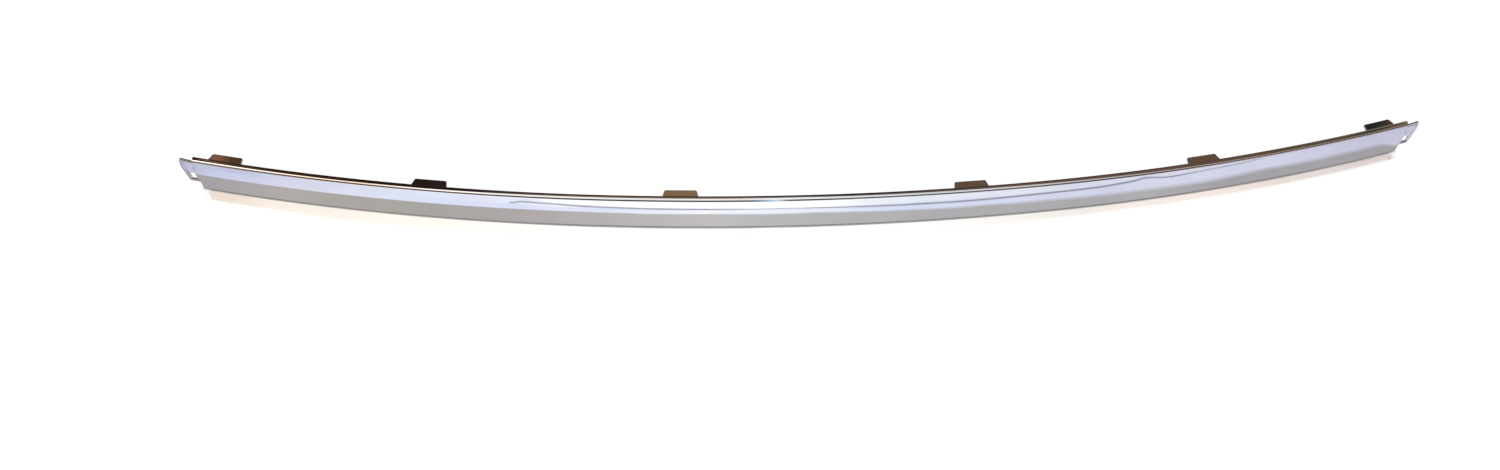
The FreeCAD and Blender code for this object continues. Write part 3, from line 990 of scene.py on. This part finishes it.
# Angles in degrees at which the zones start
HORIZON_START = [(0.6, -9), (0.67, 12), (0.72, 18), (0.84, 18)]
CEILING_START = [
    (-0.6, 60), (-0.45, 50), (-0.2, 52), (0.3, 52), (0.4, 53.5), (0.5, 56.5), (0.6, 60.5), (0.67, 64.5),
    (0.73, 70.5), (0.8, 75)]
SCREEN_START = [
    (-0.6, 72), (-0.3, 68), (0.3, 68), (0.4, 66.5), (0.5, 66), (0.6, 69), (0.67, 73), (0.73, 79), (0.8, 84)]
SHADED_EDGE_START = [
    (-0.6, 102), (-0.45, 101), (-0.3, 100), (-0.15, 118), (0.1, 122), (0.3, 112), (0.45, 102), (0.8, 95)]
WALL_START = [(-0.6, 123.5), (-0.3, 122), (-0.15, 120), (0.1, 122), (0.3, 122), (0.8, 123.5)]
DEEP_START = [(-0.42, 130), (-0.24, 127), (0, 125.5), (0.26, 125.5), (0.45, 127), (0.58, 130)]

# Start, softness in degrees and colours, from the front upwards and over
ROOM_ZONES = [
    (-9.0, 3.0, SKIRTING),
    (HORIZON_START, 3.0, HORIZON),
    (CEILING_START, 3.5, CEILING),
    (SCREEN_START, 3.0, SCREEN),
    (SHADED_EDGE_START, 2.0, SHADED_EDGE),
    (WALL_START, 1.5, WALL_BROWN),
    (DEEP_START, 1.5, DEEP_SHADE),
    (158.0, 8.0, BELOW)]
print("room of", len(ROOM_ZONES), "zones")

# %% [markdown]
# ## A grey slot overhead
# Seen from straight above, white plating on a white table would vanish. A grey slot in the ceiling,
# high over the strip, is what the flange and the tabs show then. It lies where the view from the
# front looks past it.

# %% World
SLOT_FROM, SLOT_TO, SLOT_SOFTNESS = 74.0, 87.0, 2.0
SLOT_HALF_WIDTH, SLOT_SIDE_SOFTNESS = 0.26, 0.05
SLOT_GREY = (0.42, 0.43, 0.46)
HUNDREDTH = 0.01


def overhead_slot(tree, angle, x):
    """One inside the slot: past its first angle, less past its last angle or past its half width."""
    sideways = math_node(tree, "ABSOLUTE", -100, -1400, x)
    past = step_over(tree, -100, -1500, angle, SLOT_TO, SLOT_SOFTNESS)
    wide = step_over(tree, -100, -1600, sideways, SLOT_HALF_WIDTH, SLOT_SIDE_SOFTNESS)
    missed = math_node(tree, "MAXIMUM", 200, -1500, past, wide)
    reached = step_over(tree, -100, -1700, angle, SLOT_FROM, SLOT_SOFTNESS)
    return math_node(tree, "SUBTRACT", 350, -1500, reached, missed, clamp=True)


def room_colours(tree):
    """The room's zones, laid over each other by the angle in front, overhead and behind."""
    parts = node(tree, "ShaderNodeSeparateXYZ", -1300, 0)
    tree.links.new(node(tree, "ShaderNodeTexCoord", -1500, 0).outputs["Generated"], parts.inputs[0])
    x, y, z = parts.outputs[0], parts.outputs[1], parts.outputs[2]
    front = math_node(tree, "MULTIPLY", -1100, -100, y, -1.0)
    turned = math_node(tree, "ARCTAN2", -900, 0, z, front)
    angle = math_node(tree, "MULTIPLY", -700, 0, turned, 180 / math.pi)
    side = share_of(tree, -900, 300, x, SIDE_SPAN)
    room = BELOW
    for k, (start, softness, colours) in enumerate(ROOM_ZONES):
        low = -450 - 100 * k
        if isinstance(start, list):
            hundredths = ramp(tree, -500, low, side, start, SIDE_SPAN, HUNDREDTH)
            start = math_node(tree, "MULTIPLY", -300, low, hundredths, 1 / HUNDREDTH)
        if isinstance(colours, list):
            colours = ramp(tree, -500, 600 - 100 * k, side, colours, SIDE_SPAN)
        factor = step_over(tree, -100, low, angle, start, softness)
        room = mix(tree, 100 * k, 300 - 100 * k, factor, room, colours)
    return mix(tree, 500, -1500, overhead_slot(tree, angle, x), room, SLOT_GREY)


def studio_world():
    """White for camera, soft light and sharp mirrors; the room for the plating's blurred rays."""
    world = bpy.data.worlds.new("studio")
    bpy.context.scene.world = world
    world.use_nodes = True
    tree = world.node_tree
    tree.nodes.clear()
    seen = node(tree, "ShaderNodeBackground", 500, 100, Strength=1.0)
    tree.links.new(room_colours(tree), seen.inputs["Color"])
    soft = node(tree, "ShaderNodeBackground", 500, -100, Color=(1, 1, 1, 1), Strength=1.0)
    ray = node(tree, "ShaderNodeLightPath", 300, 300).outputs
    blurred = math_node(tree, "SUBTRACT", 500, 300, ray["Is Glossy Ray"], ray["Is Singular Ray"], clamp=True)
    whole = node(tree, "ShaderNodeMixShader", 700, 0)
    tree.links.new(blurred, whole.inputs[0])
    tree.links.new(soft.outputs[0], whole.inputs[1])
    tree.links.new(seen.outputs[0], whole.inputs[2])
    to_output(tree, "ShaderNodeOutputWorld", 900, 0, whole.outputs[0])


studio_world()
bpy.context.scene.view_settings.view_transform = "Standard"
print("studio ready")

# %% [markdown]
# The dressed model's box is set against the solid's box, and the gaps between them are printed.
# The dressed model has to stay inside the solid's box.

# %% Finish
low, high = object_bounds()
gaps = [round((a - b) / MM, 3) for a, b in zip((*low, *high), (*cad_low, *cad_high))]
print("box over the solid's, mm:", gaps)
